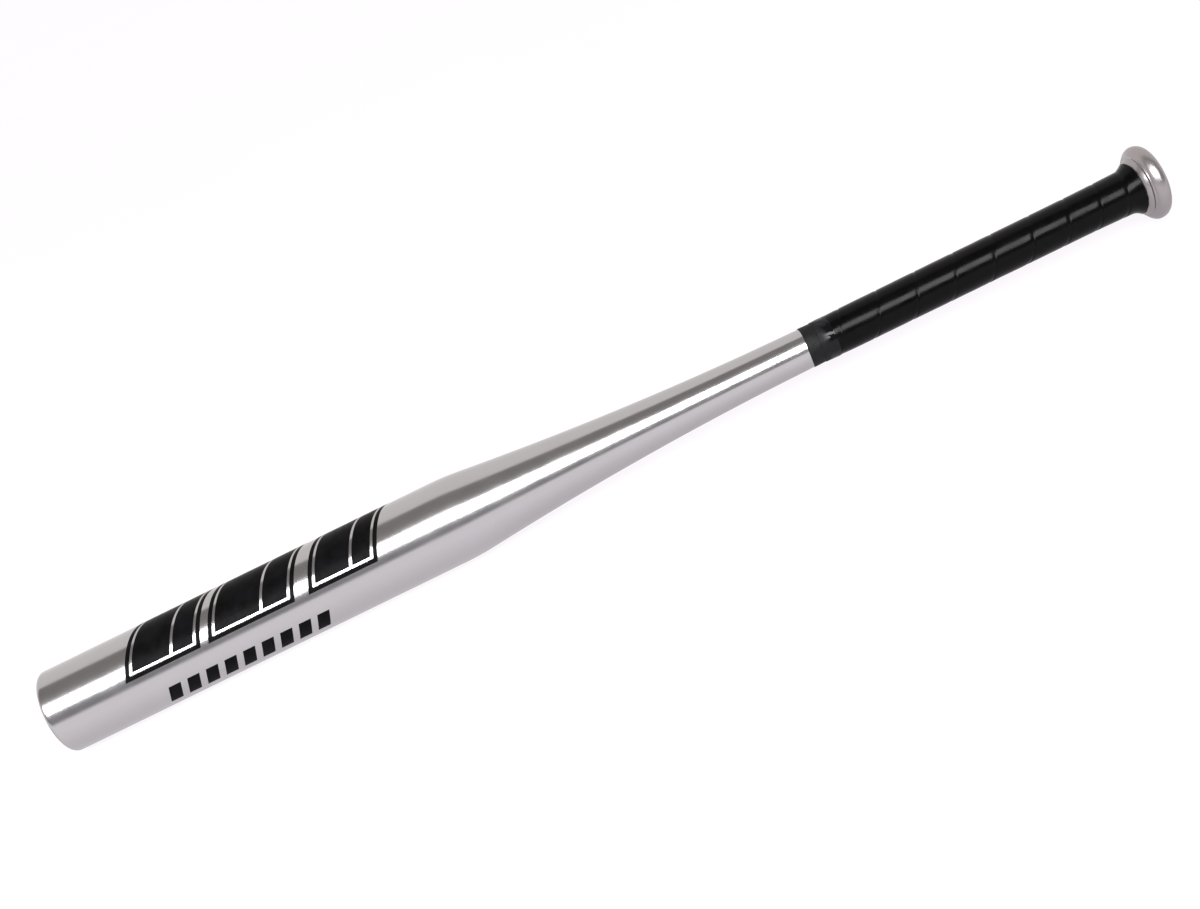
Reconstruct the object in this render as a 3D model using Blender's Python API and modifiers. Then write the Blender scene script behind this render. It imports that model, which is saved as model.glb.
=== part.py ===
"""A one-piece aluminium baseball bat, lying on its barrel: swaged tube, rubber end plug, foam
damper, welded knob, and a wrapped grip held at its front end by a band of tape.

Units are metres. The bat lies along X with the knob at +X, and +Z is up. The origin is under
the middle of the bat, on the surface that the barrel lies on. Every turned profile below is a
list of (station, radius) points, where a station is the distance from the barrel's end.
"""

import math

import bpy
from mathutils import Vector

# Driving dimensions
LENGTH = 0.7956
BARREL_RADIUS = 0.028575
HANDLE_RADIUS = 0.0135
GRIPPED_HANDLE_RADIUS = 0.0127
WALL = 0.0022
STEPS = 40
FIT_GAP = 0.0002
LAYER_GAP = 0.0001

# Tube: the straight barrel, its parabolic taper and the handle under the grip
TAPER_START = 0.2936
TAPER_END = 0.5586
SHOULDER_BLEND = 0.020
HANDLE_STEP_START = 0.538
HANDLE_STEP_END = 0.574
TUBE_END = 0.7682
LIP_EDGE_RADIUS = 0.0038
LIP_THICKNESS = 0.0026
MOUTH_RADIUS = 0.0200

# End plug and damper
PLUG_RECESS = 0.0006
PLUG_FACE_RADIUS = 0.0186
PLUG_NECK_RADIUS = 0.0196
PLUG_FLANGE_RADIUS = 0.0256
PLUG_FLANGE_START = 0.0031
PLUG_FLANGE_END = 0.0110
PLUG_SKIRT_END = 0.0200
PLUG_SKIRT_RADIUS = 0.0246
PLUG_HOLLOW_RADIUS = 0.0195
PLUG_HOLLOW_DEPTH_FROM = 0.0085
FOAM_START = 0.0230
FOAM_LENGTH = 0.0300
FOAM_RADIUS = 0.0256
FOAM_EDGE = 0.0030

# Knob
KNOB_RADIUS = 0.02543
KNOB_CREST = 0.7904
KNOB_FRONT_HEIGHT = 0.0085
KNOB_FRONT_DEPTH = 0.0060
KNOB_FRONT_START = 160
KNOB_BACK_HEIGHT = 0.0040
KNOB_BEAD_ANGLE = 150
KNOB_BEAD_SPREAD = 9
KNOB_BEAD_RISE = 0.0005
KNOB_FLARE_START = 0.7735
KNOB_FLARE_END = 0.7838
KNOB_FLARE_RADIUS = 0.0192
KNOB_SHOULDER = 0.7714
SPIGOT_START = 0.7500
SPIGOT_CHAMFER = 0.0010
VENT_RADIUS = 0.0028
VENT_SEAT_RADIUS = 0.0056
VENT_SEAT_DEPTH = 0.0030
VENT_PLUG_STEM = 0.0100

# Weld bead between the tube's end and the knob's shoulder
WELD_CROWN = 0.00015

# Grip
UNDERLAY_START = 0.5600
UNDERLAY_END = 0.7680
UNDERLAY_THICKNESS = 0.0002
WRAP_START = 0.5520
WRAP_FULL = 0.5750
WRAP_END = 0.7812
WRAP_START_RADIUS = 0.01358
WRAP_FULL_RADIUS = 0.01412
WRAP_MIDDLE = 0.7310
WRAP_MIDDLE_RADIUS = 0.01430
WRAP_NECK = 0.7735
WRAP_NECK_RADIUS = 0.01490
WRAP_FLARE_RADIUS = 0.0181
TAPE_START = 0.5435
TAPE_END = 0.5625
TAPE_THICKNESS = 0.0002


def new_collection(name):
    collection = bpy.data.collections.new(name)
    bpy.context.scene.collection.children.link(collection)
    return collection


def new_material(name, color, roughness, metallic=0.0):
    material = bpy.data.materials.new(name)
    material.use_nodes = True
    shader = material.node_tree.nodes["Principled BSDF"]
    shader.inputs["Base Color"].default_value = (*color, 1.0)
    shader.inputs["Roughness"].default_value = roughness
    shader.inputs["Metallic"].default_value = metallic
    return material


def arc(center, radius, start_degrees, end_degrees, pieces):
    """Points of a circular arc in (station, radius) space, with angles from +station towards +radius."""
    points = []
    for index in range(pieces + 1):
        angle = math.radians(start_degrees + (end_degrees - start_degrees) * index / pieces)
        station = center[0] + radius * math.cos(angle)
        points.append((station, center[1] + radius * math.sin(angle)))
    return points


def spread(start, end, count):
    """Evenly spaced stations from start to end, both included."""
    return [start + (end - start) * index / (count - 1) for index in range(count)]


def tube_radius(station):
    """The tube's outer radius: the barrel, a rounded shoulder, a parabolic taper that ends
    level with the handle, and a short step down under the grip."""
    taper_length = TAPER_END - TAPER_START
    drop = BARREL_RADIUS - HANDLE_RADIUS
    into_shoulder = station - (TAPER_START - SHOULDER_BLEND / 2)
    if into_shoulder <= 0:
        return BARREL_RADIUS
    if into_shoulder < SHOULDER_BLEND:
        taper_slope = 2 * drop / taper_length
        return BARREL_RADIUS - taper_slope * into_shoulder ** 2 / (2 * SHOULDER_BLEND)
    taper_left = max(TAPER_END - station, 0.0) / taper_length
    step = (station - HANDLE_STEP_START) / (HANDLE_STEP_END - HANDLE_STEP_START)
    step_down = (HANDLE_RADIUS - GRIPPED_HANDLE_RADIUS) * min(max(step, 0.0), 1.0)
    return HANDLE_RADIUS + drop * taper_left ** 2 - step_down


def flare_radius(station, start, end, neck_radius, flare_radius_at_end):
    """A concave cove from the neck radius up to the flare's radius."""
    part = min(max((station - start) / (end - start), 0.0), 1.0)
    return neck_radius + (flare_radius_at_end - neck_radius) * part ** 2


def wrap_radius(station):
    """The wrap's outer radius, from its skived start under the tape to its flared end."""
    if station < WRAP_FULL:
        part = (station - WRAP_START) / (WRAP_FULL - WRAP_START)
        eased = part * part * (3 - 2 * part)
        return WRAP_START_RADIUS + (WRAP_FULL_RADIUS - WRAP_START_RADIUS) * eased
    if station < WRAP_MIDDLE:
        part = (station - WRAP_FULL) / (WRAP_MIDDLE - WRAP_FULL)
        return WRAP_FULL_RADIUS + (WRAP_MIDDLE_RADIUS - WRAP_FULL_RADIUS) * part
    if station < WRAP_NECK:
        part = (station - WRAP_MIDDLE) / (WRAP_NECK - WRAP_MIDDLE)
        return WRAP_MIDDLE_RADIUS + (WRAP_NECK_RADIUS - WRAP_MIDDLE_RADIUS) * part ** 2
    return flare_radius(station, WRAP_NECK, WRAP_END, WRAP_NECK_RADIUS, WRAP_FLARE_RADIUS)


def knob_neck_radius(station):
    return flare_radius(
        station, KNOB_FLARE_START, KNOB_FLARE_END, GRIPPED_HANDLE_RADIUS, KNOB_FLARE_RADIUS
    )


def turned(name, outline, material, closed):
    """A solid of revolution. The outline runs from the barrel's end to the knob's end on its
    outer side; a closed outline makes a ring, and an open one ends on the axis twice."""
    mesh = bpy.data.meshes.new(name)
    downwards = list(reversed(outline))
    points = [(radius, 0.0, station) for station, radius in downwards]
    edges = [(index, index + 1) for index in range(len(points) - 1)]
    if closed:
        edges.append((len(points) - 1, 0))
    mesh.from_pydata(points, edges, [])
    mesh.materials.append(material)
    solid = bpy.data.objects.new(name, mesh)
    parts.objects.link(solid)
    solid.parent = bat_axis
    screw = solid.modifiers.new("revolve", "SCREW")
    screw.axis = "Z"
    screw.angle = math.tau
    screw.steps = STEPS
    screw.render_steps = STEPS
    screw.use_merge_vertices = True
    screw.merge_threshold = 0.00001
    screw.use_smooth_shade = True
    return solid


def make_tube():
    edge = LIP_EDGE_RADIUS
    lip = arc((edge, BARREL_RADIUS - edge), edge, 180, 90, 4)
    mouth_round = LIP_THICKNESS / 2
    mouth = arc((mouth_round, MOUTH_RADIUS + mouth_round), mouth_round, 270, 180, 3)
    stations = [TAPER_START - SHOULDER_BLEND / 2]
    stations += spread(TAPER_START - SHOULDER_BLEND / 4, TAPER_START + SHOULDER_BLEND / 2, 4)
    stations += spread(TAPER_START + SHOULDER_BLEND, HANDLE_STEP_START, 10)
    stations += [HANDLE_STEP_END, TUBE_END]
    outer = [(station, tube_radius(station)) for station in stations]
    inner_stations = [TUBE_END, HANDLE_STEP_END, HANDLE_STEP_START]
    inner_stations += spread(TAPER_END - 0.05, TAPER_START, 7)
    inner = [(station, tube_radius(station) - WALL) for station in inner_stations]
    inner_corner = 0.0012
    bore_radius = BARREL_RADIUS - WALL
    corner_center = (LIP_THICKNESS + inner_corner, bore_radius - inner_corner)
    corner = arc(corner_center, inner_corner, 90, 180, 3)
    inner_mouth = arc((mouth_round, MOUTH_RADIUS + mouth_round), mouth_round, 360, 300, 2)
    outline = mouth + lip + outer + inner + corner + inner_mouth
    return turned("bat_tube", outline, polished_aluminium, closed=True)


def make_end_plug():
    outline = [
        (PLUG_RECESS, 0.0),
        (PLUG_RECESS, PLUG_FACE_RADIUS),
        (PLUG_RECESS + 0.0007, PLUG_NECK_RADIUS),
        (PLUG_FLANGE_START, PLUG_NECK_RADIUS),
        (PLUG_FLANGE_START, PLUG_FLANGE_RADIUS - 0.0022),
        (PLUG_FLANGE_START + 0.0022, PLUG_FLANGE_RADIUS),
        (PLUG_FLANGE_END, PLUG_FLANGE_RADIUS),
        (PLUG_SKIRT_END, PLUG_SKIRT_RADIUS),
        (PLUG_SKIRT_END, PLUG_HOLLOW_RADIUS),
        (PLUG_HOLLOW_DEPTH_FROM, PLUG_HOLLOW_RADIUS - 0.0015),
        (PLUG_HOLLOW_DEPTH_FROM, 0.0),
    ]
    return turned("end_plug", outline, black_rubber, closed=False)


def make_foam_damper():
    end = FOAM_START + FOAM_LENGTH
    outline = [
        (FOAM_START, 0.0),
        (FOAM_START, FOAM_RADIUS - FOAM_EDGE),
        (FOAM_START + FOAM_EDGE, FOAM_RADIUS),
        (end - FOAM_EDGE, FOAM_RADIUS),
        (end, FOAM_RADIUS - FOAM_EDGE),
        (end, 0.0),
    ]
    return turned("foam_damper", outline, grey_foam, closed=False)


def knob_rim():
    """The rim's profile: a tall front rounding with a raised bead on it, and a smaller back one."""
    front = []
    bead_edges = (KNOB_BEAD_ANGLE + KNOB_BEAD_SPREAD, KNOB_BEAD_ANGLE - KNOB_BEAD_SPREAD)
    for degrees in (KNOB_FRONT_START, bead_edges[0], KNOB_BEAD_ANGLE, *spread(bead_edges[1], 90, 6)):
        rise = KNOB_BEAD_RISE if degrees == KNOB_BEAD_ANGLE else 0.0
        angle = math.radians(degrees)
        station = KNOB_CREST + (KNOB_FRONT_DEPTH + rise) * math.cos(angle)
        height = (KNOB_FRONT_HEIGHT + rise) * math.sin(angle)
        front.append((station, KNOB_RADIUS - KNOB_FRONT_HEIGHT + height))
    back = []
    for degrees in spread(90, 0, 6)[1:]:
        angle = math.radians(degrees)
        station = KNOB_CREST + (LENGTH - KNOB_CREST) * math.cos(angle)
        back.append((station, KNOB_RADIUS - KNOB_BACK_HEIGHT * (1 - math.sin(angle))))
    return front + back


def make_knob():
    spigot_radius = GRIPPED_HANDLE_RADIUS - WALL - FIT_GAP
    neck_stations = [KNOB_SHOULDER] + spread(KNOB_FLARE_START, KNOB_FLARE_END, 6)
    neck = [(station, knob_neck_radius(station)) for station in neck_stations]
    outline = [
        (SPIGOT_START, VENT_RADIUS),
        (SPIGOT_START, spigot_radius - SPIGOT_CHAMFER),
        (SPIGOT_START + SPIGOT_CHAMFER, spigot_radius),
        (KNOB_SHOULDER, spigot_radius),
    ]
    outline += neck + knob_rim()
    outline += [
        (LENGTH, VENT_SEAT_RADIUS),
        (LENGTH - VENT_SEAT_DEPTH, VENT_SEAT_RADIUS),
        (LENGTH - VENT_SEAT_DEPTH, VENT_RADIUS),
    ]
    return turned("knob", outline, polished_aluminium, closed=True)


def make_knob_weld():
    """A ring of weld metal in the groove between the tube's end and the knob's shoulder."""
    front = TUBE_END + FIT_GAP
    back = KNOB_SHOULDER - FIT_GAP
    root = GRIPPED_HANDLE_RADIUS - WALL
    middle = (front + back) / 2
    outline = [
        (front, root),
        (front, GRIPPED_HANDLE_RADIUS - WELD_CROWN),
        (middle, GRIPPED_HANDLE_RADIUS),
        (back, GRIPPED_HANDLE_RADIUS - WELD_CROWN),
        (back, root),
    ]
    return turned("knob_weld", outline, weld_metal, closed=True)


def make_vent_plug():
    face = LENGTH - FIT_GAP
    head_back = face - VENT_SEAT_DEPTH + 2 * FIT_GAP
    head_radius = VENT_SEAT_RADIUS - FIT_GAP
    stem_radius = VENT_RADIUS - FIT_GAP
    stem_end = face - VENT_PLUG_STEM
    outline = [
        (stem_end, 0.0),
        (stem_end, stem_radius - 0.0006),
        (stem_end + 0.0012, stem_radius),
        (head_back, stem_radius),
        (head_back, head_radius),
        (face - 0.0004, head_radius),
        (face, head_radius - 0.0004),
        (face, 0.0),
    ]
    return turned("knob_vent_plug", outline, black_rubber, closed=False)


def make_grip_underlay():
    """Thin adhesive backing around the handle, tapering with the tube at its front end."""
    stations = [UNDERLAY_START, HANDLE_STEP_END, UNDERLAY_END]
    inner = [(station, tube_radius(station) + LAYER_GAP) for station in stations]
    outer = [(station, radius + UNDERLAY_THICKNESS) for station, radius in inner]
    return turned("grip_underlay", outer + inner[::-1], backing_film, closed=True)


def make_grip_wrap():
    over_underlay = 2 * LAYER_GAP + UNDERLAY_THICKNESS
    outer_stations = spread(WRAP_START, WRAP_FULL, 5) + [WRAP_MIDDLE]
    outer_stations += spread(WRAP_MIDDLE + 0.014, WRAP_NECK, 4)
    outer_stations += spread(WRAP_NECK, WRAP_END, 6)[1:]
    outer = [(station, wrap_radius(station)) for station in outer_stations]
    flare_stations = spread(KNOB_FLARE_START, WRAP_END, 5)
    flare = [(station, knob_neck_radius(station) + over_underlay) for station in flare_stations]
    inner = [(WRAP_START, tube_radius(WRAP_START) + LAYER_GAP)]
    bare_end = UNDERLAY_START - 2 * FIT_GAP
    inner += [(bare_end, tube_radius(bare_end) + LAYER_GAP)]
    inner += [(bare_end + FIT_GAP, tube_radius(bare_end) + over_underlay)]
    inner += [(HANDLE_STEP_END, GRIPPED_HANDLE_RADIUS + over_underlay)]
    return turned("grip_wrap", outer + (inner + flare)[::-1], grip_leatherette, closed=True)


def make_finishing_tape():
    """A band of tape over the end of the wrap and on to the bare tube in front of it."""
    on_tube = spread(TAPE_START, WRAP_START - FIT_GAP, 2)
    on_wrap = spread(WRAP_START, TAPE_END, 4)
    inner = [(station, tube_radius(station) + LAYER_GAP) for station in on_tube]
    inner += [(station, wrap_radius(station) + LAYER_GAP) for station in on_wrap]
    outer = [(station, radius + TAPE_THICKNESS) for station, radius in inner]
    return turned("finishing_tape", outer + inner[::-1], vinyl_tape, closed=True)


def place_axis():
    """Every turned piece hangs on one empty: its local Z is the bat's axis, from the barrel's
    end to the knob's, at the height at which the barrel touches the surface under it."""
    axis = bpy.data.objects.new("bat_axis", None)
    parts.objects.link(axis)
    axis.location = Vector((-LENGTH / 2, 0.0, BARREL_RADIUS))
    axis.rotation_euler = (0.0, math.pi / 2, 0.0)
    axis.empty_display_size = 0.05
    return axis


for old_object in list(bpy.data.objects):
    bpy.data.objects.remove(old_object, do_unlink=True)

parts = new_collection("baseball_bat")
bat_axis = place_axis()

polished_aluminium = new_material("polished_aluminium", (0.80, 0.79, 0.80), 0.18, 1.0)
weld_metal = new_material("weld_metal", (0.62, 0.62, 0.62), 0.45, 1.0)
black_rubber = new_material("black_rubber", (0.025, 0.025, 0.027), 0.65)
grey_foam = new_material("grey_foam", (0.42, 0.42, 0.40), 0.95)
backing_film = new_material("backing_film", (0.72, 0.68, 0.58), 0.70)
grip_leatherette = new_material("grip_leatherette", (0.012, 0.012, 0.013), 0.35)
vinyl_tape = new_material("vinyl_tape", (0.010, 0.010, 0.011), 0.22)

make_tube()
make_end_plug()
make_foam_damper()
make_knob()
make_knob_weld()
make_vent_plug()
make_grip_underlay()
make_grip_wrap()
make_finishing_tape()
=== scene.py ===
import math

import bmesh
import bpy
from mathutils import Matrix, Vector, noise


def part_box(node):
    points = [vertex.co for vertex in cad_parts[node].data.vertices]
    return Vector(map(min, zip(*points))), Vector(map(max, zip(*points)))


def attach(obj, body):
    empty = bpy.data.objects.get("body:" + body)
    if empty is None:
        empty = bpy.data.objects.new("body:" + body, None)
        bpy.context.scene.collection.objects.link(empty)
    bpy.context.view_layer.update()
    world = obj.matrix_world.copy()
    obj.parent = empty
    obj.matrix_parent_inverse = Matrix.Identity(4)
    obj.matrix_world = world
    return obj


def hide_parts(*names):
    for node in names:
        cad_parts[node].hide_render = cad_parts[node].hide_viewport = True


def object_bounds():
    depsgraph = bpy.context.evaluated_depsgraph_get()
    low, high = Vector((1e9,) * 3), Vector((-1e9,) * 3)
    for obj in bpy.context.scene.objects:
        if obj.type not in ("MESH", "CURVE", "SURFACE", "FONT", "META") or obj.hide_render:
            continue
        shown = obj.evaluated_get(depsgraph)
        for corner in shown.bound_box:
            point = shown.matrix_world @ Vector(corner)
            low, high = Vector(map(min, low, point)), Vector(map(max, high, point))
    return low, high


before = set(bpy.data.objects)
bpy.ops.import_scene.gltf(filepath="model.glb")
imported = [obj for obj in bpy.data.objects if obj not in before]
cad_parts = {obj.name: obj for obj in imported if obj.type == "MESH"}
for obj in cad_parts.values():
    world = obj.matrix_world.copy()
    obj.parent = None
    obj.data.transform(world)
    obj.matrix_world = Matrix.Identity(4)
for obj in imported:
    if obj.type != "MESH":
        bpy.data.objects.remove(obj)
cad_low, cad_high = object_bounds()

# The bat's axis, from the frame. Stations are distances from the barrel's end, in metres, and
# an angle round the axis is 0 at the front (-Y) and grows upwards, so 90 degrees is the top.
tube_low, tube_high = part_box("bat_tube")
knob_low, knob_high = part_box("knob")
START_X = tube_low.x
AXIS_Z = (tube_low.z + tube_high.z) / 2
CAD_RADIUS = (tube_high.z - tube_low.z) / 2
LENGTH = knob_high.x - START_X

# The finished surfaces stay this far inside the frame's, so that the ink stays inside too
INK_ROOM = 0.00006
BARREL_RADIUS = CAD_RADIUS - INK_ROOM

# The handle's tube is a little slimmer under the grip than in front of it
HANDLE_RADIUS = 0.0135
GRIPPED_HANDLE_RADIUS = 0.0127
WALL = 0.0022

# The camera looks across the bat's axis from the front and above, rolled about its own view.
# VIEW_WIDTH is the width of what it sees at the bat.
CAMERA_ELEVATION = math.radians(27.5)
CAMERA_ROLL = math.radians(25.99)
CAMERA_DISTANCE = 1.0
CAMERA_STATION = 0.392
CAMERA_BELOW_AXIS = 0.0035
SENSOR_WIDTH = 36.0
VIEW_WIDTH = 0.784673
FACING = math.degrees(CAMERA_ELEVATION)

# Points closer than this are the same point
SAME_POINT = 1e-7
ROUND_STEPS = 256


def along(station, radius, degrees):
    """A point at a station, a distance from the axis and an angle round it."""
    angle = math.radians(degrees)
    return Vector((
        START_X + station,
        -radius * math.cos(angle),
        AXIS_Z + radius * math.sin(angle),
    ))


def smooth(part):
    """part kept between 0 and 1, and eased at both ends."""
    part = min(max(part, 0.0), 1.0)
    return part * part * (3 - 2 * part)


def spread(start, end, count):
    """Evenly spaced numbers from start to end."""
    return [start + (end - start) * index / (count - 1) for index in range(count)]


def arc(station, radius, size, start_degrees, end_degrees, pieces):
    """Points of an arc in (station, radius) space, with angles from +station towards +radius."""
    points = []
    for angle in spread(math.radians(start_degrees), math.radians(end_degrees), pieces + 1):
        points.append((station + size * math.cos(angle), radius + size * math.sin(angle)))
    return points


# ---------------------------------------------------------------- materials

CELL_SMOOTHNESS = 0.6

# The tape is dull up to the first station and smooth from the second
TAPE_DULL_UNTIL = 0.5535
TAPE_SMOOTH_FROM = 0.5590


class Paint:
    """A node material round one Principled shader, with short calls for what is added to it."""

    def __init__(self, name):
        self.material = bpy.data.materials.new(name)
        self.material.use_nodes = True
        self.tree = self.material.node_tree
        self.shader = self.tree.nodes["Principled BSDF"]
        self.place = self.tree.nodes.new("ShaderNodeTexCoord").outputs["Object"]
        self.height = None

    def set(self, **values):
        """Constants for the shader's own sockets. In a name, _ stands for a space."""
        for name, value in values.items():
            self.shader.inputs[name.replace("_", " ")].default_value = value
        return self

    def noise(self, scale, detail, stretch=(1, 1, 1)):
        """A noise value. A number below 1 in stretch draws it out along that axis."""
        mapping = self.tree.nodes.new("ShaderNodeMapping")
        mapping.inputs["Scale"].default_value = stretch
        self.tree.links.new(self.place, mapping.inputs["Vector"])
        node = self.tree.nodes.new("ShaderNodeTexNoise")
        node.inputs["Scale"].default_value = scale
        node.inputs["Detail"].default_value = detail
        self.tree.links.new(mapping.outputs["Vector"], node.inputs["Vector"])
        return node.outputs["Fac"]

    def cells(self, scale):
        """The distance from the middles of rounded cells."""
        node = self.tree.nodes.new("ShaderNodeTexVoronoi")
        node.feature = "SMOOTH_F1"
        node.inputs["Scale"].default_value = scale
        node.inputs["Smoothness"].default_value = CELL_SMOOTHNESS
        self.tree.links.new(self.place, node.inputs["Vector"])
        return node.outputs["Distance"]

    def length_along(self):
        """Distance along X, which is along the bat."""
        node = self.tree.nodes.new("ShaderNodeSeparateXYZ")
        self.tree.links.new(self.place, node.inputs["Vector"])
        return node.outputs["X"]

    def colors(self, value, dark, light, dark_at=0.3, light_at=0.8):
        """Base colour from dark to light, as value goes from dark_at to light_at."""
        node = self.tree.nodes.new("ShaderNodeValToRGB")
        first, last = node.color_ramp.elements
        first.position = dark_at
        first.color = (*dark, 1)
        last.position = light_at
        last.color = (*light, 1)
        self.tree.links.new(value, node.inputs["Fac"])
        self.tree.links.new(node.outputs["Color"], self.shader.inputs["Base Color"])

    def roughness(self, value, low, high, low_at=0.3, high_at=0.7):
        """Roughness from low to high, as value goes from low_at to high_at."""
        node = self.tree.nodes.new("ShaderNodeMapRange")
        node.inputs["From Min"].default_value = low_at
        node.inputs["From Max"].default_value = high_at
        node.inputs["To Min"].default_value = low
        node.inputs["To Max"].default_value = high
        self.tree.links.new(value, node.inputs["Value"])
        self.tree.links.new(node.outputs["Result"], self.shader.inputs["Roughness"])

    def bump(self, value, depth, strength):
        """Adds a height to the surface; depth is in metres."""
        node = self.tree.nodes.new("ShaderNodeBump")
        node.inputs["Strength"].default_value = strength
        node.inputs["Distance"].default_value = depth
        self.tree.links.new(value, node.inputs["Height"])
        if self.height is not None:
            self.tree.links.new(self.height, node.inputs["Normal"])
        self.height = node.outputs["Normal"]
        self.tree.links.new(self.height, self.shader.inputs["Normal"])


def polished_metal(name, shade, roughness_low, roughness_high):
    """Polished aluminium: lathe-polishing lines round the axis, cloudy wear and fine scuffs."""
    paint = Paint(name).set(Metallic=1.0)
    clouded = [0.97 * part for part in shade]
    paint.colors(paint.noise(22, detail=4), clouded, shade, dark_at=0.35, light_at=0.7)
    paint.roughness(paint.noise(60, detail=6), roughness_low, roughness_high)
    lines = paint.noise(900, detail=2, stretch=(1, 0.01, 0.01))
    paint.bump(lines, depth=0.000004, strength=0.35)
    paint.bump(paint.noise(160, detail=3), depth=0.000010, strength=0.25)
    return paint.material


def black_ink():
    """Printed ink with hardly any gloss, on a slightly uneven film."""
    paint = Paint("printed_black_ink").set(Specular_IOR_Level=0.03)
    paint.colors(paint.noise(120, detail=5), dark=(0.002, 0.002, 0.002), light=(0.005, 0.005, 0.006))
    paint.roughness(paint.noise(300, detail=3), 0.26, 0.42)
    paint.bump(paint.noise(700, detail=2), depth=0.000012, strength=0.4)
    return paint.material


def leatherette():
    """Black grip leatherette: a fine pebble grain, creases along the winding, a soft gloss."""
    paint = Paint("grip_leatherette").set(Specular_IOR_Level=0.11)
    paint.colors(
        paint.noise(140, detail=5), dark=(0.0004, 0.0004, 0.0004), light=(0.0014, 0.0014, 0.0018)
    )
    paint.roughness(paint.noise(90, detail=5), 0.16, 0.27)
    paint.bump(paint.cells(1100), depth=0.00005, strength=0.35)
    creases = paint.noise(240, detail=4, stretch=(1, 0.4, 0.4))
    paint.bump(creases, depth=0.00006, strength=0.4)
    return paint.material


def vinyl():
    """Black tape, dull on its front half and rubbed smooth towards its rear edge."""
    paint = Paint("finishing_tape_vinyl").set(Specular_IOR_Level=0.24)
    paint.colors(paint.noise(200, detail=4), dark=(0.001, 0.001, 0.002), light=(0.003, 0.003, 0.004))
    paint.roughness(
        paint.length_along(), 0.60, 0.08, START_X + TAPE_DULL_UNTIL, START_X + TAPE_SMOOTH_FROM
    )
    paint.bump(paint.noise(420, detail=3), depth=0.00004, strength=0.5)
    return paint.material


def rubber():
    """Matt moulded rubber, slightly uneven in shade."""
    paint = Paint("moulded_black_rubber")
    paint.colors(paint.noise(300, detail=6), dark=(0.016, 0.016, 0.017), light=(0.034, 0.034, 0.035))
    paint.roughness(paint.noise(180, detail=4), 0.5, 0.72)
    paint.bump(paint.noise(1500, detail=4), depth=0.00003, strength=0.5)
    return paint.material


def weld_bead():
    """Dull weld metal with ripples."""
    paint = Paint("weld_metal").set(Metallic=1.0)
    paint.colors(paint.noise(500, detail=4), dark=(0.42, 0.42, 0.42), light=(0.60, 0.60, 0.60))
    paint.roughness(paint.noise(300, detail=3), 0.3, 0.55)
    paint.bump(paint.noise(900, detail=3, stretch=(0.3, 1, 1)), depth=0.0001, strength=0.6)
    return paint.material


def foam():
    """Grey closed-cell foam."""
    paint = Paint("closed_cell_foam").set(Roughness=0.95)
    cells = paint.cells(900)
    paint.colors(cells, dark=(0.30, 0.30, 0.29), light=(0.46, 0.46, 0.44), dark_at=0.0, light_at=0.6)
    paint.bump(cells, depth=0.0002, strength=0.7)
    return paint.material


def backing():
    """The grip's buff adhesive film, with threads round the axis."""
    paint = Paint("grip_backing_film").set(Roughness=0.7)
    paint.colors(paint.noise(250, detail=5), dark=(0.62, 0.57, 0.47), light=(0.74, 0.70, 0.60))
    paint.bump(paint.noise(2000, detail=2, stretch=(1, 0.2, 0.2)), depth=0.00003, strength=0.5)
    return paint.material


# ---------------------------------------------------------------- mesh helpers


def new_piece(name, mesh, material, node):
    """A finished piece with a material slot. It stands for a CAD node, unless node is None."""
    piece = bpy.data.objects.new(name, mesh)
    bpy.context.scene.collection.objects.link(piece)
    mesh.materials.append(material)
    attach(piece, "root")
    if node:
        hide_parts(node)


def mesh_from(work, name, sharp_degrees=35):
    """A smooth-shaded mesh from a bmesh, facing outwards."""
    bmesh.ops.recalc_face_normals(work, faces=work.faces)
    mesh = bpy.data.meshes.new(name)
    work.to_mesh(mesh)
    work.free()
    mesh.shade_smooth()
    mesh.set_sharp_from_angle(angle=math.radians(sharp_degrees))
    return mesh


def lathe(name, outline, closed, shape=None, steps=ROUND_STEPS):
    """Turns an outline of (station, radius) points round the axis. shape(station, degrees) may
    add a small height to the outline's radius. An open outline starts and ends on the axis."""
    work = bmesh.new()
    rings = []
    for station, radius in outline:
        if radius < SAME_POINT:
            rings.append([work.verts.new(along(station, 0.0, 0.0))])
            continue
        ring = []
        for step in range(steps):
            degrees = 360 * step / steps
            lift = shape(station, degrees) if shape else 0.0
            ring.append(work.verts.new(along(station, radius + lift, degrees)))
        rings.append(ring)
    pairs = list(zip(rings, rings[1:]))
    if closed:
        pairs.append((rings[-1], rings[0]))
    for first, second in pairs:
        for step in range(steps):
            after = (step + 1) % steps
            corners = [
                first[step % len(first)],
                first[after % len(first)],
                second[after % len(second)],
                second[step % len(second)],
            ]
            unique = list(dict.fromkeys(corners))
            if len(unique) > 2:
                work.faces.new(unique)
    return mesh_from(work, name)


# ---------------------------------------------------------------- tube

TAPER_START = 0.2936
TAPER_END = 0.5586
SHOULDER_BLEND = 0.020
SHOULDER_START = TAPER_START - SHOULDER_BLEND / 2
HANDLE_STEP_START = 0.538
HANDLE_STEP_END = 0.574
LIP_EDGE_RADIUS = 0.0038
LIP_THICKNESS = 0.0026
LIP_INNER_CORNER = 0.0012
MOUTH_RADIUS = 0.0200
TUBE_END = tube_high.x - START_X

# Stretches of the tube's outside, as (start, end, rings of vertices): barrel, shoulder, taper
TUBE_STRETCHES = (
    (0.0200, 0.2800, 14),
    (SHOULDER_START, 0.3056, 12),
    (0.3100, TUBE_END, 93),
)


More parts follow.
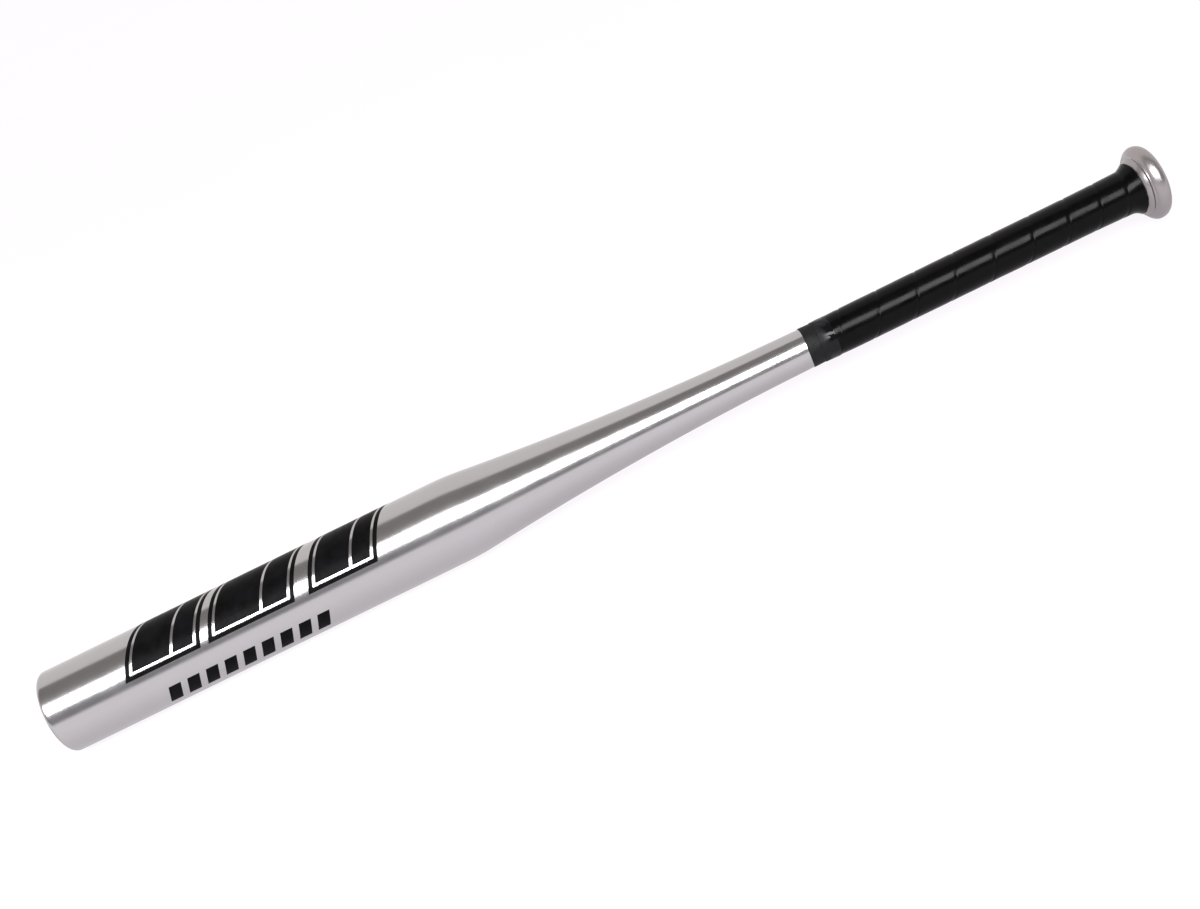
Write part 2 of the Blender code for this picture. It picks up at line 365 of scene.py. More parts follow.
def tube_radius(station):
    """The barrel, a rounded shoulder, a parabolic taper, and a step down under the grip."""
    taper_length = TAPER_END - TAPER_START
    drop = BARREL_RADIUS - HANDLE_RADIUS
    into_shoulder = station - SHOULDER_START
    if into_shoulder <= 0:
        return BARREL_RADIUS
    if into_shoulder < SHOULDER_BLEND:
        taper_slope = 2 * drop / taper_length
        return BARREL_RADIUS - taper_slope * into_shoulder ** 2 / (2 * SHOULDER_BLEND)
    taper_left = max(TAPER_END - station, 0.0) / taper_length
    step = (station - HANDLE_STEP_START) / (HANDLE_STEP_END - HANDLE_STEP_START)
    step_down = (HANDLE_RADIUS - GRIPPED_HANDLE_RADIUS) * min(max(step, 0.0), 1.0)
    return HANDLE_RADIUS + drop * taper_left ** 2 - step_down


def make_tube(material):
    """The tube: the rolled lip's mouth, its outer edge, the outside, and back through the bore."""
    mouth_round = LIP_THICKNESS / 2
    edge = LIP_EDGE_RADIUS
    outline = arc(mouth_round, MOUTH_RADIUS + mouth_round, mouth_round, 300, 180, 12)
    outline += arc(edge, BARREL_RADIUS - edge, edge, 180, 90, 24)
    for start, end, rings in TUBE_STRETCHES:
        outline += [(station, tube_radius(station)) for station in spread(start, end, rings)]
    inner = [TUBE_END, HANDLE_STEP_END] + spread(HANDLE_STEP_START, TAPER_START, 20)
    outline += [(station, tube_radius(station) - WALL) for station in inner]
    corner = LIP_INNER_CORNER
    bore = BARREL_RADIUS - WALL
    outline += arc(LIP_THICKNESS + corner, bore - corner, corner, 90, 180, 6)
    mesh = lathe("bat_tube_finished", outline, closed=True)
    new_piece("bat_tube_finished", mesh, material, "bat_tube")


# ---------------------------------------------------------------- knob and plugs

KNOB_RADIUS = (knob_high.z - knob_low.z) / 2
KNOB_CREST = 0.7904
KNOB_FRONT_HEIGHT = 0.0085
KNOB_FRONT_DEPTH = 0.0060
KNOB_FRONT_START = 160
KNOB_BACK_HEIGHT = 0.0040
KNOB_BEAD_ANGLE = 150
KNOB_BEAD_SPREAD = 9
KNOB_BEAD_RISE = 0.0004
KNOB_FLARE_START = 0.7735
KNOB_FLARE_END = 0.7838
KNOB_FLARE_RADIUS = 0.0192
KNOB_SHOULDER = 0.7714
SPIGOT_START = knob_low.x - START_X
SPIGOT_CLEARANCE = 0.0002
SPIGOT_CHAMFER = 0.001
VENT_RADIUS = 0.0028
VENT_SEAT_RADIUS = 0.0056
VENT_SEAT_DEPTH = 0.0030
BUTT_FLAT_RADIUS = 0.020
BUTT_EDGE = 0.0006

PLUG_FACE_RADIUS = 0.0184
PLUG_FACE_EDGE = 0.0008
PLUG_DISH = 0.0003
PLUG_NECK_RADIUS = 0.0196
PLUG_FLANGE_START = 0.0031
PLUG_FLANGE_CORNER = 0.0022
PLUG_FLANGE_END = 0.0110
PLUG_SKIRT_RADIUS = 0.0246
PLUG_HOLLOW_RADIUS = 0.0195
PLUG_HOLLOW_FLOOR = 0.0085
PLUG_HOLLOW_FLOOR_RADIUS = 0.0180

# The plug's two moulded rings, as (radius, width), stand up almost level with its edge
PLUG_RINGS = ((0.0150, 0.0006), (0.0050, 0.0005))
PLUG_RING_RISE = 0.9

VENT_STEM_RADIUS = 0.0026
VENT_STEM_CORNER = 0.0006
VENT_HEAD_DEPTH = 0.0026
VENT_HEAD_CORNER = 0.0007
VENT_HEAD_DISH = 0.0002
VENT_DISH_PART = 0.8
VENT_STEPS = 96


def flare(station, start, end, neck_radius, end_radius):
    """A radius that grows ever faster from the neck's at start to the end's at end."""
    part = min(max((station - start) / (end - start), 0.0), 1.0)
    return neck_radius + (end_radius - neck_radius) * part ** 2


def knob_neck(station):
    return flare(
        station, KNOB_FLARE_START, KNOB_FLARE_END, GRIPPED_HANDLE_RADIUS, KNOB_FLARE_RADIUS
    )


def knob_rim():
    """The rim's profile: a tall front rounding with a raised bead on it, and a smaller back one."""
    front = []
    for degrees in spread(KNOB_FRONT_START, 90, 71):
        across = min(abs(degrees - KNOB_BEAD_ANGLE) / KNOB_BEAD_SPREAD, 1.0)
        rise = KNOB_BEAD_RISE * (0.5 + 0.5 * math.cos(math.pi * across))
        angle = math.radians(degrees)
        station = KNOB_CREST + (KNOB_FRONT_DEPTH + rise) * math.cos(angle)
        height = (KNOB_FRONT_HEIGHT + rise) * math.sin(angle)
        front.append((station, KNOB_RADIUS - KNOB_FRONT_HEIGHT + height))
    back = []
    for degrees in spread(90, 0, 25)[1:]:
        angle = math.radians(degrees)
        station = KNOB_CREST + (LENGTH - KNOB_CREST) * math.cos(angle)
        back.append((station, KNOB_RADIUS - KNOB_BACK_HEIGHT * (1 - math.sin(angle))))
    return front + back


def make_knob(material):
    """The knob: its spigot, concave neck, rim and flat butt, and the seat of the vent plug."""
    spigot_radius = GRIPPED_HANDLE_RADIUS - WALL - SPIGOT_CLEARANCE
    seat_edge_radius = VENT_SEAT_RADIUS + BUTT_EDGE
    outline = [
        (SPIGOT_START, VENT_RADIUS),
        (SPIGOT_START, spigot_radius - SPIGOT_CHAMFER),
        (SPIGOT_START + SPIGOT_CHAMFER, spigot_radius),
        (KNOB_SHOULDER, spigot_radius),
        (KNOB_SHOULDER, GRIPPED_HANDLE_RADIUS),
    ]
    neck_stations = spread(KNOB_FLARE_START, KNOB_FLARE_END, 28)[:-1]
    outline += [(station, knob_neck(station)) for station in neck_stations]
    outline += knob_rim()
    outline += [(LENGTH, radius) for radius in spread(BUTT_FLAT_RADIUS, seat_edge_radius, 6)]
    outline += arc(LENGTH - BUTT_EDGE, seat_edge_radius, BUTT_EDGE, 0, -90, 6)[1:]
    outline += [
        (LENGTH - VENT_SEAT_DEPTH, VENT_SEAT_RADIUS),
        (LENGTH - VENT_SEAT_DEPTH, VENT_RADIUS),
    ]
    mesh = lathe("knob_finished", outline, closed=True)
    new_piece("knob_finished", mesh, material, "knob")


def make_end_plug(material):
    """The rubber plug: a slightly dished face with two moulded rings, and a flange behind the lip."""
    low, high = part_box("end_plug")
    face = low.x - START_X
    end = high.x - START_X
    flange_radius = (high.z - low.z) / 2
    edge = PLUG_FACE_EDGE
    corner = PLUG_FLANGE_CORNER
    outline = [(face + PLUG_DISH, 0.0)]
    for radius in spread(0.0004, PLUG_FACE_RADIUS, 60):
        rings = sum(math.exp(-((radius - ring) / width) ** 2) for ring, width in PLUG_RINGS)
        outline.append((face + PLUG_DISH * (1 - rings * PLUG_RING_RISE), radius))
    outline += arc(face + edge, PLUG_NECK_RADIUS - edge, edge, 180, 90, 8)
    outline += [(PLUG_FLANGE_START, PLUG_NECK_RADIUS), (PLUG_FLANGE_START, flange_radius - corner)]
    outline += arc(PLUG_FLANGE_START + corner, flange_radius - corner, corner, 180, 90, 8)[1:]
    outline += [
        (PLUG_FLANGE_END, flange_radius),
        (end, PLUG_SKIRT_RADIUS),
        (end, PLUG_HOLLOW_RADIUS),
        (PLUG_HOLLOW_FLOOR, PLUG_HOLLOW_FLOOR_RADIUS),
        (PLUG_HOLLOW_FLOOR, 0.0),
    ]
    mesh = lathe("end_plug_finished", outline, closed=False)
    new_piece("end_plug_finished", mesh, material, "end_plug")


def make_vent_plug(material):
    """The small rubber plug in the knob's butt: a stem, and a head with a slightly dished face."""
    low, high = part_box("knob_vent_plug")
    start = low.x - START_X
    face = high.x - START_X
    head = (high.z - low.z) / 2
    stem = VENT_STEM_RADIUS
    outline = [(start, 0.0), (start, stem - VENT_STEM_CORNER)]
    outline += arc(start + VENT_STEM_CORNER, stem - VENT_STEM_CORNER, VENT_STEM_CORNER, 180, 90, 6)[1:]
    outline += [(face - VENT_HEAD_DEPTH, stem), (face - VENT_HEAD_DEPTH, head)]
    outline += arc(face - VENT_HEAD_CORNER, head - VENT_HEAD_CORNER, VENT_HEAD_CORNER, 90, 0, 8)
    for part in spread(0, 1, 8):
        outline.append((face - VENT_HEAD_DISH * part, head * VENT_DISH_PART * (1 - part)))
    mesh = lathe("knob_vent_plug_finished", outline, closed=False, steps=VENT_STEPS)
    new_piece("knob_vent_plug_finished", mesh, material, "knob_vent_plug")


# ---------------------------------------------------------------- grip

# Seams are counted along the line that faces the camera, and close up from the closing turn on
WRAP_FIRST_SEAM = 0.5943
WRAP_PITCH = 0.0277
WRAP_CLOSING_TURN = 4
WRAP_CLOSING = 0.00175

# The wrap grows from its skived start to its full thickness, widens slowly past the middle
# station, and flares with the knob's neck
WRAP_FULL = 0.5750
WRAP_MIDDLE = 0.7310
WRAP_NECK = 0.7735
WRAP_START_RADIUS = 0.01358
WRAP_FULL_RADIUS = 0.01412
WRAP_MIDDLE_RADIUS = 0.01430
WRAP_NECK_RADIUS = 0.01490
WRAP_FLARE_RADIUS = 0.0181
WRAP_END_FADE = 0.008

LAYER_GAP = 0.0001
UNDERLAY_ROOM = 0.0004
UNDERLAY_RAMP = 0.008
SEAM_DEPTH = 0.00030
SEAM_APPROACH = 0.0028
SEAM_CURVE = 1.3
SEAM_WALL = 0.00035
RIPPLE_HEIGHT = 0.00006
RIPPLE_ALONG = 130
RIPPLE_ROUND = 1.6

wrap_low, wrap_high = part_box("grip_wrap")
WRAP_START = wrap_low.x - START_X
WRAP_END = wrap_high.x - START_X

# Turns enough to reach past both ends. Rows of vertices lie across each turn of the strip at
# these parts of its width, and closest together at its edges.
WRAP_TURNS = range(-4, 9)
WRAP_STEPS = 180
STRIP_ROWS = (
    [0, 0.006, 0.012, 0.018, 0.026, 0.04, 0.07, 0.11]
    + spread(0.16, 0.82, 12)
    + [0.86, 0.885, 0.905, 0.925, 0.945, 0.965, 0.985]
)
WRAP_MERGE = 1e-6


def wrap_radius(station):
    """The wrap's mean outer radius, from its skived start under the tape to its flared end."""
    if station < WRAP_FULL:
        part = smooth((station - WRAP_START) / (WRAP_FULL - WRAP_START))
        return WRAP_START_RADIUS + (WRAP_FULL_RADIUS - WRAP_START_RADIUS) * part
    if station < WRAP_MIDDLE:
        part = (station - WRAP_FULL) / (WRAP_MIDDLE - WRAP_FULL)
        return WRAP_FULL_RADIUS + (WRAP_MIDDLE_RADIUS - WRAP_FULL_RADIUS) * part
    if station < WRAP_NECK:
        return flare(station, WRAP_MIDDLE, WRAP_NECK, WRAP_MIDDLE_RADIUS, WRAP_NECK_RADIUS)
    return flare(station, WRAP_NECK, WRAP_END, WRAP_NECK_RADIUS, WRAP_FLARE_RADIUS)


def wrap_bore(station):
    """The wrap's inner radius, just outside the handle, its backing and the knob's neck."""
    if station > KNOB_FLARE_START:
        return knob_neck(station) + LAYER_GAP
    room = UNDERLAY_ROOM * smooth((station - WRAP_START) / UNDERLAY_RAMP)
    return tube_radius(min(station, TUBE_END)) + room


def seam_station(turn):
    """Where the strip's edge crosses the line that faces the camera; the turns close up at the knob."""
    closing = max(turn - WRAP_CLOSING_TURN, 0.0)
    return WRAP_FIRST_SEAM + WRAP_PITCH * turn - WRAP_CLOSING * closing ** 2


def seam_height(past, before):
    """Height of the strip, from the distances past one seam and before the next. The strip slopes
    down gently to the next turn's edge, which stands over it as a short steep step."""
    slope = max(1 - before / SEAM_APPROACH, 0.0) ** SEAM_CURVE
    step = math.exp(-(past / SEAM_WALL) ** 2)
    return -SEAM_DEPTH * max(slope, step)


def wavering(station, degrees, along_bat, round_bat):
    """Noise at a place on the handle. The last two numbers say how fast it changes each way."""
    angle = math.radians(degrees)
    return noise.noise(
        Vector((station * along_bat, round_bat * math.cos(angle), round_bat * math.sin(angle)))
    )


def strip_row(work, turn, fraction):
    """A line of vertices that follows the strip for one turn, at a fraction of its width."""
    row = []
    for step in range(WRAP_STEPS + 1):
        turned = step / WRAP_STEPS
        station = seam_station(turn + turned + fraction)
        past = station - seam_station(turn + turned)
        before = seam_station(turn + turned + 1) - station
        inside = min(max(station, WRAP_START), WRAP_END)
        fade = smooth((WRAP_END - inside) / WRAP_END_FADE)
        degrees = FACING + 360 * turned
        ripple = RIPPLE_HEIGHT * wavering(station, degrees, RIPPLE_ALONG, RIPPLE_ROUND)
        lift = (seam_height(past, before) + ripple) * fade
        row.append(work.verts.new(along(station, wrap_radius(inside) + lift, degrees)))
    return row


def thicken_inwards(work, bore):
    """Closes an open sleeve with an inner copy of it at the bore's radius, and rims between them."""
    rim_edges = [edge for edge in work.edges if edge.is_boundary]
    outer_faces = work.faces[:]
    inner = {}
    for vertex in work.verts[:]:
        spoke = Vector((0, vertex.co.y, vertex.co.z - AXIS_Z)).normalized()
        radius = bore(vertex.co.x - START_X)
        inner[vertex] = work.verts.new(Vector((vertex.co.x, 0, AXIS_Z)) + spoke * radius)
    close_film(work, outer_faces, rim_edges, inner)


def close_film(work, faces, rim_edges, other_side):
    """Copies faces to the other side's vertices and joins both sides along the rim."""
    for face in faces:
        work.faces.new([other_side[vertex] for vertex in reversed(face.verts)])
    for edge in rim_edges:
        first, second = edge.verts
        work.faces.new([first, second, other_side[second], other_side[first]])


def make_wrap(material):
    """The strip is laid out on lines that follow its own helix, then trimmed square at both ends."""
    work = bmesh.new()
    rows = [strip_row(work, turn, fraction) for turn in WRAP_TURNS for fraction in STRIP_ROWS]
    for first, second in zip(rows, rows[1:]):
        for step in range(WRAP_STEPS):
            work.faces.new([first[step], first[step + 1], second[step + 1], second[step]])
    bmesh.ops.remove_doubles(work, verts=work.verts, dist=WRAP_MERGE)
    for station, outwards in ((WRAP_START, -1), (WRAP_END, 1)):
        bmesh.ops.bisect_plane(
            work, geom=work.verts[:] + work.edges[:] + work.faces[:], plane_co=along(station, 0, 0),
            plane_no=(outwards, 0, 0), clear_outer=True, dist=SAME_POINT,
        )
    thicken_inwards(work, wrap_bore)
    mesh = mesh_from(work, "grip_wrap_finished", sharp_degrees=60)
    new_piece("grip_wrap_finished", mesh, material, "grip_wrap")


# ---------------------------------------------------------------- tape

TAPE_THICKNESS = 0.00018
TAPE_RINGS = 70
TAPE_STEPS = 240
TAPE_FRONT_FADE = 0.002
TAPE_REAR_FADE = 0.001
TAPE_EDGE_BOW = 0.0012
CRINKLE_HEIGHT = 0.00016
FOLD_ALONG = 200
FOLD_ROUND = 2.6
FINE_ALONG = 600
FINE_ROUND = 6
FINE_PART = 0.3


def crinkle(station, degrees):
    """Folds across the tape, with finer unevenness on them."""
    fold = abs(wavering(station, degrees, FOLD_ALONG, FOLD_ROUND)) * 2
    fine = wavering(station, degrees, FINE_ALONG, FINE_ROUND)
    return CRINKLE_HEIGHT * (fold + FINE_PART * fine)


def bow_front_edge(mesh, start, end):
    """Bows the tape's front edge towards the barrel on the bat's front, and leaves its rear edge."""
    for vertex in mesh.vertices:
        facing = max(-vertex.co.y / HANDLE_RADIUS, 0.0)
        left = (end - (vertex.co.x - START_X)) / (end - start)
        vertex.co.x -= TAPE_EDGE_BOW * min(facing, 1.0) ** 2 * max(left, 0.0)


def make_tape(material):
    """The band of tape, over the end of the bare handle and the start of the wrap."""
    low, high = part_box("finishing_tape")
    start = low.x - START_X
    end = high.x - START_X
    outer = []
    for station in spread(start, end, TAPE_RINGS):
        base = tube_radius(station) if station < WRAP_START else wrap_radius(station)
        outer.append((station, base + LAYER_GAP + TAPE_THICKNESS))
    inner = [(station, radius - TAPE_THICKNESS) for station, radius in reversed(outer)]

    def shape(station, degrees):
        fade = smooth((station - start) / TAPE_FRONT_FADE) * smooth((end - station) / TAPE_REAR_FADE)
        return crinkle(station, degrees) * fade

    mesh = lathe(
        "finishing_tape_finished", outer + inner, closed=True, shape=shape, steps=TAPE_STEPS
    )
    bow_front_edge(mesh, start, end)
    new_piece("finishing_tape_finished", mesh, material, "finishing_tape")


# ---------------------------------------------------------------- printed panels

# Each panel's start and width, along its lower edge
PANELS = ((0.0573, 0.053), (0.1158, 0.061), (0.1866, 0.049))
PANEL_BASE = -0.0026
PANEL_HEIGHT = 0.052
SLANT = 0.38
OUTLINE_WIDTH = 0.0029
BARE_LINE_WIDTH = 0.0017
SLASH_WIDTH = 0.0019
SLASH_PART = 0.62
DASH_COUNT = 9
DASH_START = 0.0735
DASH_PITCH = 0.0132
DASH_WIDTH = 0.0086
DASH_BASE = -0.0322
DASH_HEIGHT = 0.0145
INK_TOP = INK_ROOM * 0.8
INK_UNDERSIDE = INK_ROOM * 0.1
PRINT_STEP_DEGREES = 1.5


def inset(corners, distance):
    """The convex outline moved inwards by a distance, with mitred corners."""
    center = sum((Vector(corner) for corner in corners), Vector((0, 0))) / len(corners)
    lines = []
    for first, second in zip(corners, corners[1:] + corners[:1]):
        run = (Vector(second) - Vector(first)).normalized()
        inwards = Vector((-run.y, run.x))
        if inwards.dot(center - Vector(first)) < 0:
            inwards = -inwards
        lines.append((Vector(first) + inwards * distance, run))
    moved = []
    for (point, run), (next_point, next_run) in zip(lines[-1:] + lines[:-1], lines):
        cross = run.x * next_run.y - run.y * next_run.x
        gap = next_point - point
        travel = (gap.x * next_run.y - gap.y * next_run.x) / cross
        moved.append(tuple(point + run * travel))
    return moved


def filled_mesh(name, loops):
    """A flat mesh between outlines; an outline inside another one is a hole or an island."""
    curve = bpy.data.curves.new(name, "CURVE")
    curve.dimensions = "2D"
    curve.fill_mode = "BOTH"
    for loop in loops:
        spline = curve.splines.new("POLY")
        spline.points.add(len(loop) - 1)
        spline.use_cyclic_u = True
        for point, (station, height) in zip(spline.points, loop):
            point.co = (station, height, 0, 1)
    flat = bpy.data.objects.new(name + "_flat", curve)
    bpy.context.scene.collection.objects.link(flat)
    bpy.context.view_layer.update()
    evaluated = flat.evaluated_get(bpy.context.evaluated_depsgraph_get())
    mesh = bpy.data.meshes.new_from_object(evaluated)
    bpy.data.objects.remove(flat)
    return mesh


def print_on_barrel(name, loops, material):
    """Wraps flat outlines on to the barrel as a thin film. A loop is a list of (station, height)
    points, with the height measured round the barrel from the line that faces the camera."""
    flat_mesh = filled_mesh(name, loops)
    work = bmesh.new()
    work.from_mesh(flat_mesh)
    bpy.data.meshes.remove(flat_mesh)
    bmesh.ops.remove_doubles(work, verts=work.verts, dist=SAME_POINT)
    heights = [height for loop in loops for _, height in loop]
    slice_height = BARREL_RADIUS * math.radians(PRINT_STEP_DEGREES)
    lowest = math.floor(min(heights) / slice_height)
    highest = math.ceil(max(heights) / slice_height)
    for level in range(lowest, highest + 1):
        bmesh.ops.bisect_plane(
            work, geom=work.verts[:] + work.edges[:] + work.faces[:],
            plane_co=(0, level * slice_height, 0), plane_no=(0, 1, 0),
        )
    film_faces = work.faces[:]
    rim_edges = [edge for edge in work.edges if edge.is_boundary]
    underside = {}
    for vertex in work.verts[:]:
        station, height, _ = vertex.co
        degrees = FACING + math.degrees(height / BARREL_RADIUS)
        vertex.co = along(station, BARREL_RADIUS + INK_TOP, degrees)
        underside[vertex] = work.verts.new(along(station, BARREL_RADIUS + INK_UNDERSIDE, degrees))
    close_film(work, film_faces, rim_edges, underside)
    mesh = mesh_from(work, name, sharp_degrees=50)
    new_piece(name, mesh, material, None)


def slanted_bar(start, width, base, height):
    """A bar that leans towards the knob, as (station, height) corners."""
    corners = [(0, 0), (width, 0), (width, height), (0, height)]
    return [(start + x + SLANT * y, base + y) for x, y in corners]


def make_prints(material):
    """Plain slanted bars and a row of dashes, in place of the maker's graphics."""
    border = OUTLINE_WIDTH + BARE_LINE_WIDTH
    lean = math.hypot(1, SLANT)
    for number, (start, width) in enumerate(PANELS, 1):
        outer = slanted_bar(start, width, PANEL_BASE, PANEL_HEIGHT)
        inner_width = width - 2 * border * lean
        inner_base = PANEL_BASE + border
        inner_height = PANEL_HEIGHT - 2 * border
        wide = inner_width * SLASH_PART
        narrow = inner_width - wide - SLASH_WIDTH
        left = start + border * (lean + SLANT)
        loops = [
            outer,
            inset(outer, OUTLINE_WIDTH),
            slanted_bar(left, wide, inner_base, inner_height),
            slanted_bar(left + wide + SLASH_WIDTH, narrow, inner_base, inner_height),
        ]
        print_on_barrel(f"printed_panel_{number}", loops, material)
    dashes = []
    for index in range(DASH_COUNT):
        dashes.append(slanted_bar(DASH_START + index * DASH_PITCH, DASH_WIDTH, DASH_BASE, DASH_HEIGHT))
    print_on_barrel("printed_dashes", dashes, material)


# ---------------------------------------------------------------- studio

# A panel's sides are angles round the bat's axis, and its ends are stations
AIR_COLOR = (1.0, 0.965, 0.94)
AIR_LIGHT = 0.95
SOFTBOX_COLOR = (1, 1, 1)
SOFTBOX_LIGHT = 12.0
SOFTBOX_DISTANCE = 2.2
SOFTBOX_BARREL_SIDE = (FACING + 14.7, FACING + 34.4)
SOFTBOX_KNOB_SIDE = (FACING - 3, FACING + 22)
SOFTBOX_ENDS = (-3.0, 1.62)
FLAG_LIGHT = 0.30
FLAG_DISTANCE = 2.3
UPPER_FLAG_COLOR = (1, 0.935, 0.895)
UPPER_FLAG_BARREL_SIDE = (FACING + 15, FACING + 108)
UPPER_FLAG_KNOB_SIDE = (FACING + 15, FACING + 48)
UPPER_FLAG_ENDS = (-5.0, 5.0)
LOWER_FLAG_COLOR = (0.97, 0.96, 1)
LOWER_FLAG_SIDES = (3.3, FACING + 15)
LOWER_FLAG_ENDS = (-9.0, 9.0)
PANEL_STEPS = 13

FLOOR_HALF_SIZE = 30.0
FLOOR_DROP = 0.0001
FLOOR_GLOW = 0.90
FLOOR_GLOW_COLOR = (1.0, 0.97, 1.0, 1)
FLOOR_DARK = (0.105, 0.100, 0.105)
FLOOR_LIGHT = (0.115, 0.110, 0.115)

SHADE_DROP = 0.00005
SHADE_REACH = 0.10
SHADE_HALF_LENGTH = 0.6
SHADE_UNDER_BAT = (0.68, 0.67, 0.68, 1)

# How much light the shade lets through, as (part of its reach, grey)
SHADE_STOPS = ((0.24, 0.80), (0.36, 0.86), (0.51, 0.93), (0.80, 0.99))


def glow(name, color, strength):
    """A material that only gives off light."""
    material = bpy.data.materials.new(name)
    material.use_nodes = True
    tree = material.node_tree
    tree.nodes.remove(tree.nodes["Principled BSDF"])
    emission = tree.nodes.new("ShaderNodeEmission")
    emission.inputs["Color"].default_value = (*color, 1)
    emission.inputs["Strength"].default_value = strength
    tree.links.new(emission.outputs["Emission"], tree.nodes["Material Output"].inputs["Surface"])
    return material


def stage_sheet(name, mesh, material):
    """A sheet of the studio that the camera doesn't see and that casts no shadow."""
    mesh.materials.append(material)
    sheet = bpy.data.objects.new(name, mesh)
    bpy.context.scene.collection.objects.link(sheet)
    sheet.visible_camera = False
    sheet.visible_shadow = False
    return sheet


def flat_mesh_at_origin(name, half_length, half_width):
    mesh = bpy.data.meshes.new(name)
    x, y = half_length, half_width
    mesh.from_pydata([(-x, -y, 0), (x, -y, 0), (x, y, 0), (-x, y, 0)], [], [(0, 1, 2, 3)])
    return mesh


def studio_panel(name, barrel_side, knob_side, distance, ends, color, strength):
    """A long curved panel round the bat's axis. Each side is the lowest and the highest angle
    of that end of the panel, and the panel narrows evenly from one end to the other."""
    work = bmesh.new()
    rows = []
    for part in spread(0, 1, PANEL_STEPS):
        row = []
        for place, (low, high) in zip(ends, (barrel_side, knob_side)):
            row.append(work.verts.new(along(place, distance, low + (high - low) * part)))
        rows.append(row)
    for first, second in zip(rows, rows[1:]):
        work.faces.new([first[0], first[1], second[1], second[0]])
    mesh = bpy.data.meshes.new(name)
    work.to_mesh(mesh)
    work.free()
    stage_sheet(name, mesh, glow(name, color, strength))


def make_floor():
    """A large pale floor that glows a little, so that it stays even out to the horizon."""
    paint = Paint("pale_floor").set(
        Roughness=0.9, Emission_Color=FLOOR_GLOW_COLOR, Emission_Strength=FLOOR_GLOW,
        Specular_IOR_Level=0.0,
    )
    paint.colors(paint.noise(3, detail=2), FLOOR_DARK, FLOOR_LIGHT, light_at=0.7)
    mesh = flat_mesh_at_origin("floor", FLOOR_HALF_SIZE, FLOOR_HALF_SIZE)
    mesh.materials.append(paint.material)
    floor = bpy.data.objects.new("floor", mesh)
    floor.location.z = cad_low.z - FLOOR_DROP
    bpy.context.scene.collection.objects.link(floor)


def shade_tint():
    """A clear material, dark along the bat's axis and fading out sideways from it."""
    material = bpy.data.materials.new("contact_shade")
    material.use_nodes = True
    tree = material.node_tree
    tree.nodes.remove(tree.nodes["Principled BSDF"])
    place = tree.nodes.new("ShaderNodeTexCoord").outputs["Object"]
    split = tree.nodes.new("ShaderNodeSeparateXYZ")
    sideways = tree.nodes.new("ShaderNodeMath")
    sideways.operation = "ABSOLUTE"
    part = tree.nodes.new("ShaderNodeMapRange")
    part.inputs["From Max"].default_value = SHADE_REACH
    tint = tree.nodes.new("ShaderNodeValToRGB")
    under_bat, outside = tint.color_ramp.elements
    under_bat.color = SHADE_UNDER_BAT
    outside.color = (1, 1, 1, 1)
    for at, grey in SHADE_STOPS:
        tint.color_ramp.elements.new(at).color = (grey, grey, grey, 1)
    clear = tree.nodes.new("ShaderNodeBsdfTransparent")
    tree.links.new(place, split.inputs["Vector"])
    tree.links.new(split.outputs["Y"], sideways.inputs[0])
    tree.links.new(sideways.outputs["Value"], part.inputs["Value"])
    tree.links.new(part.outputs["Result"], tint.inputs["Fac"])
    tree.links.new(tint.outputs["Color"], clear.inputs["Color"])
    tree.links.new(clear.outputs["BSDF"], tree.nodes["Material Output"].inputs["Surface"])
    return material


def make_contact_shade():
    """A clear tinted sheet on the floor that only reflections see. It dims the floor's mirror
    image under the bat, where the bat itself keeps the light out."""
    mesh = flat_mesh_at_origin("contact_shade", SHADE_HALF_LENGTH, SHADE_REACH)
    sheet = stage_sheet("contact_shade", mesh, shade_tint())
    sheet.location.z = cad_low.z - SHADE_DROP
    sheet.visible_diffuse = False


def make_air():
    """Even light from all round."""
    world = bpy.data.worlds.new("studio_air")
    bpy.context.scene.world = world
    world.use_nodes = True
    background = world.node_tree.nodes["Background"]
    background.inputs["Color"].default_value = (*AIR_COLOR, 1)
    background.inputs["Strength"].default_value = AIR_LIGHT


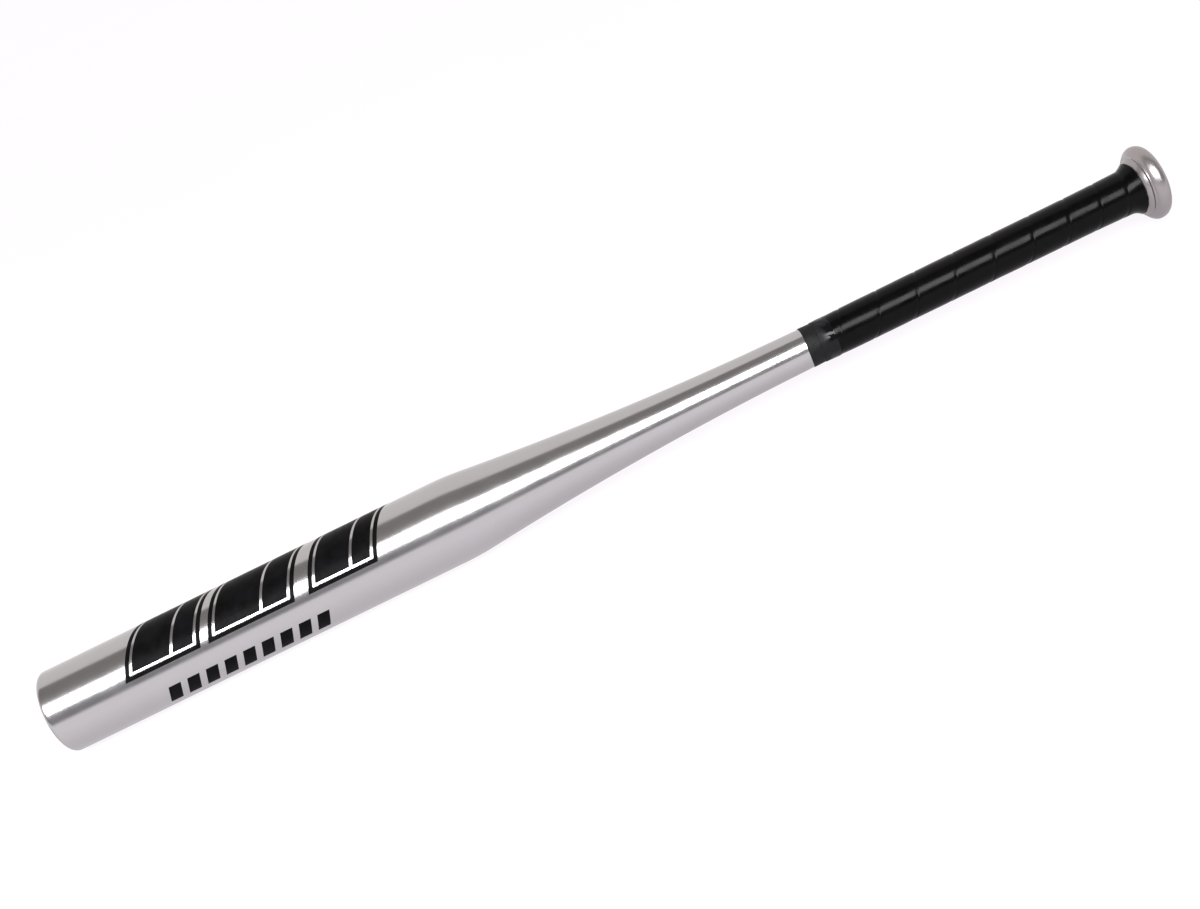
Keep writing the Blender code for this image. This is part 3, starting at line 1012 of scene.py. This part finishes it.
def make_studio():
    """White air, a long softbox above the camera, and grey flags over it and under it."""
    make_air()
    studio_panel(
        "softbox", SOFTBOX_BARREL_SIDE, SOFTBOX_KNOB_SIDE, SOFTBOX_DISTANCE, SOFTBOX_ENDS,
        SOFTBOX_COLOR, SOFTBOX_LIGHT,
    )
    studio_panel(
        "upper_flag", UPPER_FLAG_BARREL_SIDE, UPPER_FLAG_KNOB_SIDE, FLAG_DISTANCE, UPPER_FLAG_ENDS,
        UPPER_FLAG_COLOR, FLAG_LIGHT,
    )
    studio_panel(
        "lower_flag", LOWER_FLAG_SIDES, LOWER_FLAG_SIDES, FLAG_DISTANCE, LOWER_FLAG_ENDS,
        LOWER_FLAG_COLOR, FLAG_LIGHT,
    )
    make_floor()
    make_contact_shade()


def make_camera():
    """A camera square to the bat's axis, aimed a little under it, and rolled to lift the knob's end."""
    view = Vector((0, math.cos(CAMERA_ELEVATION), -math.sin(CAMERA_ELEVATION)))
    along_bat = Vector((1, 0, 0))
    across_bat = Vector((0, math.sin(CAMERA_ELEVATION), math.cos(CAMERA_ELEVATION)))
    right = along_bat * math.cos(CAMERA_ROLL) - across_bat * math.sin(CAMERA_ROLL)
    up = along_bat * math.sin(CAMERA_ROLL) + across_bat * math.cos(CAMERA_ROLL)
    target = along(CAMERA_STATION, 0, 0) - across_bat * CAMERA_BELOW_AXIS
    data = bpy.data.cameras.new("camera")
    data.sensor_width = SENSOR_WIDTH
    data.lens = SENSOR_WIDTH * CAMERA_DISTANCE / VIEW_WIDTH
    camera = bpy.data.objects.new("camera", data)
    bpy.context.scene.collection.objects.link(camera)
    turn = Matrix((right, up, -view)).transposed()
    camera.matrix_world = Matrix.Translation(target - view * CAMERA_DISTANCE) @ turn.to_4x4()
    bpy.context.scene.camera = camera


# ---------------------------------------------------------------- the bat

metal = polished_metal("polished_aluminium", (0.515, 0.505, 0.515), 0.16, 0.21)
knob_metal = polished_metal("knob_aluminium", (0.38, 0.355, 0.36), 0.26, 0.34)
black_rubber = rubber()

make_tube(metal)
make_knob(knob_metal)
make_end_plug(black_rubber)
make_vent_plug(black_rubber)
make_wrap(leatherette())
make_tape(vinyl())
make_prints(black_ink())

for node, material in (
    ("knob_weld", weld_bead()),
    ("foam_damper", foam()),
    ("grip_underlay", backing()),
):
    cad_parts[node].material_slots[0].material = material

make_studio()
make_camera()
bpy.context.scene.view_settings.view_transform = "Standard"
